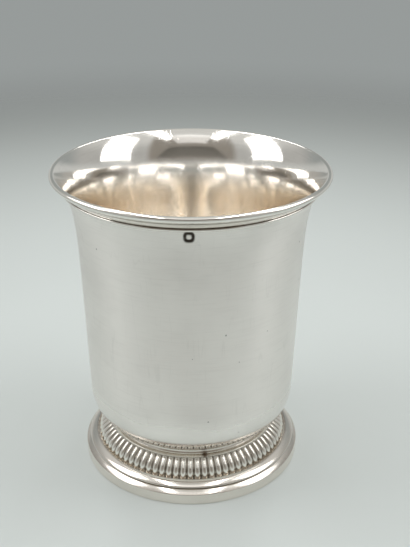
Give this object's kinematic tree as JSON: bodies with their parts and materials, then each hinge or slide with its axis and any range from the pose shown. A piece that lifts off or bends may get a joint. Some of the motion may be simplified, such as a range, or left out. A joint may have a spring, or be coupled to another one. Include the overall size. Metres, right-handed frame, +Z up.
{
  "type": "footed silver tumbler",
  "caption": "Beaker-shaped silver drinking cup with a flared, moulded lip and a rounded bottom, on a short hollow foot with a band of gadroons.",
  "frame": {"origin": "centre of the circle that the foot stands on, on the table", "axes": "+Z up along the tumbler's axis; -Y is the side that the picture shows"},
  "size_m": [0.0778, 0.0778, 0.0896],
  "materials": {
    "bowl_silver": "satin-polished silver with fine polishing lines",
    "moulding_silver": "bright polished silver",
    "foot_silver": "polished silver, lightly tarnished",
    "gadroon_silver": "polished silver lobes with dark tarnish in the grooves",
    "solder": "dull silver solder"
  },
  "bodies": {
    "root": {"bowl": "bowl_silver", "rim_moulding": "moulding_silver", "foot_shell": "foot_silver", "neck_ring": "foot_silver", "gadroon_band": "gadroon_silver", "torus_moulding": "moulding_silver", "base_ring": "moulding_silver", "solder_seams": "solder"}
  },
  "joints": []
}
